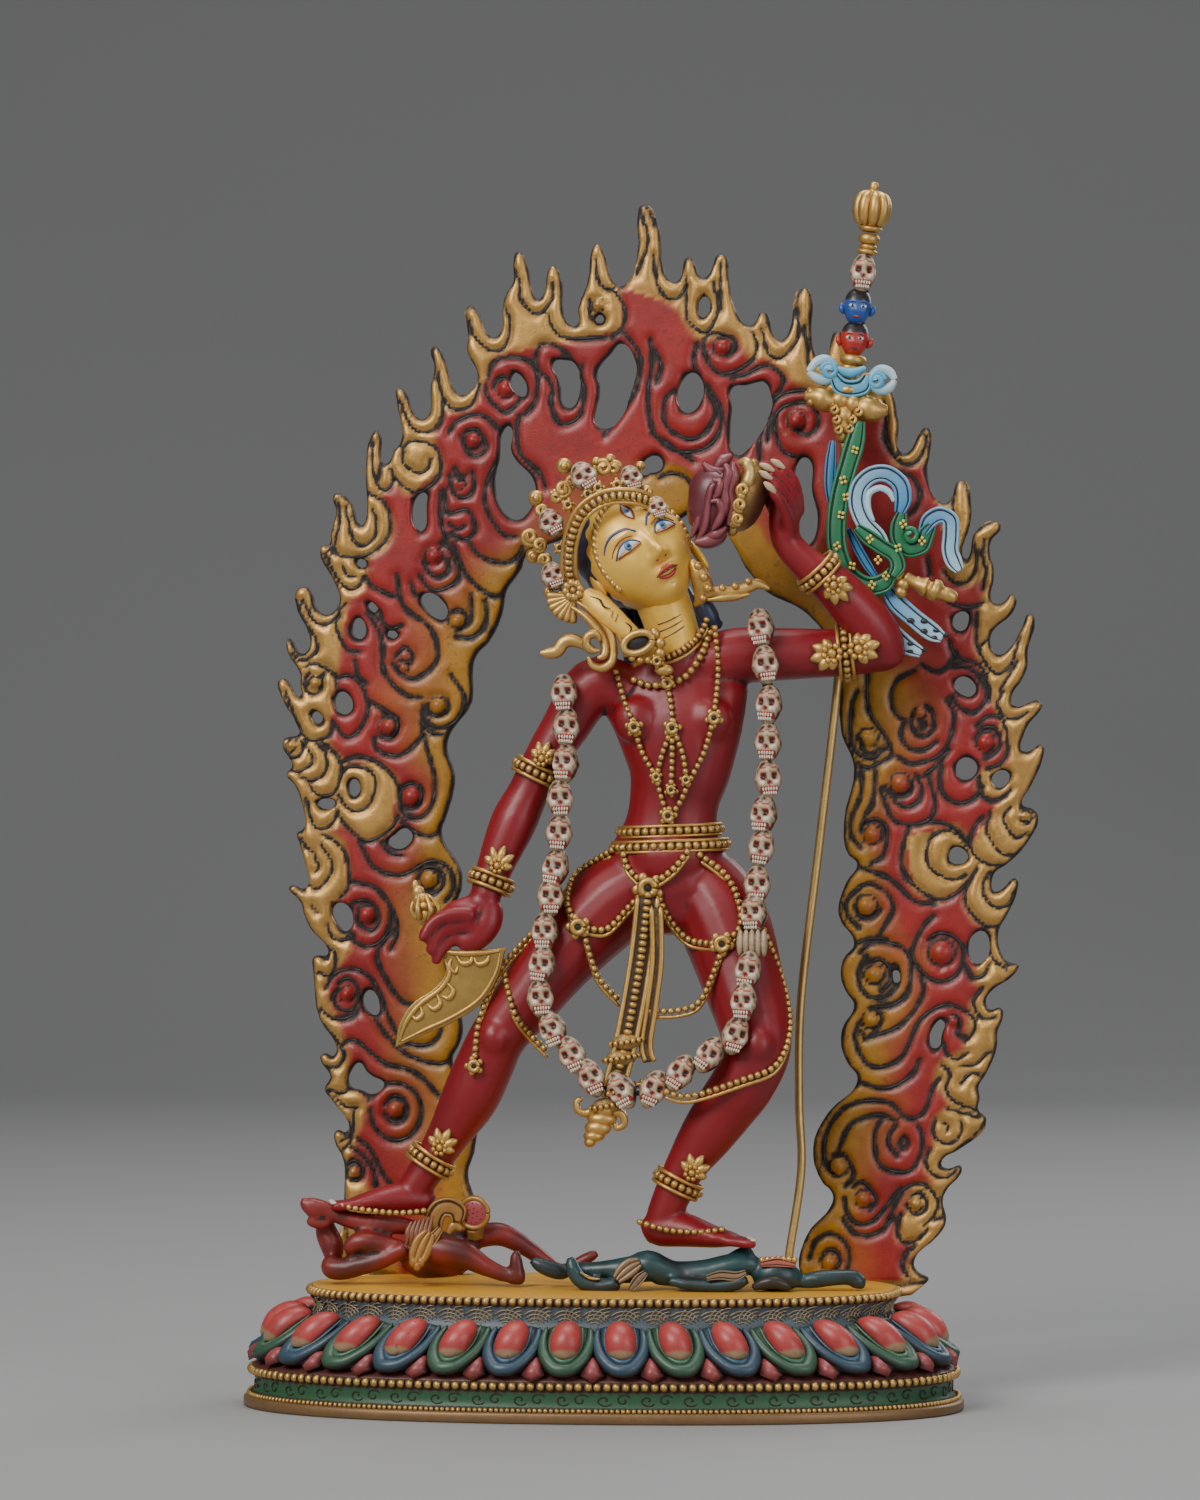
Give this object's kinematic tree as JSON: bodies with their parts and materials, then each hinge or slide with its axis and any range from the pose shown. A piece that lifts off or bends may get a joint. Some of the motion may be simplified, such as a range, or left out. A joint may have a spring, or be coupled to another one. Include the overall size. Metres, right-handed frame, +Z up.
{
  "type": "vajrayogini statue",
  "caption": "Painted dancing vajrayogini with curved knife, skull cup and tall staff, treading on two lying figures on an oval lotus base before an openwork flame aureole.",
  "frame": {"origin": "middle of the base's flat underside", "axes": "+Z up, +X to the viewer's right, the front faces -Y"},
  "size_m": [0.2328, 0.1072, 0.356],
  "materials": {
    "painted_base": "satin",
    "painted_flames": "satin",
    "painted_skin": "satin",
    "painted_bone": "satin",
    "gold_paint": "satin",
    "brass_rod": "satin",
    "painted_ribbon": "satin",
    "painted_red_figure": "satin",
    "painted_blue_figure": "satin"
  },
  "bodies": {
    "root": {"lotus_base": "painted_base", "flame_aureole": "painted_flames", "dancing_figure": "painted_skin", "skull_garland": "painted_bone", "curved_knife": "gold_paint", "skull_cup": "gold_paint", "staff_rod": "brass_rod", "staff_finial": "gold_paint", "staff_ribbon": "painted_ribbon", "trampled_figure_red": "painted_red_figure", "trampled_figure_blue": "painted_blue_figure"}
  },
  "joints": []
}
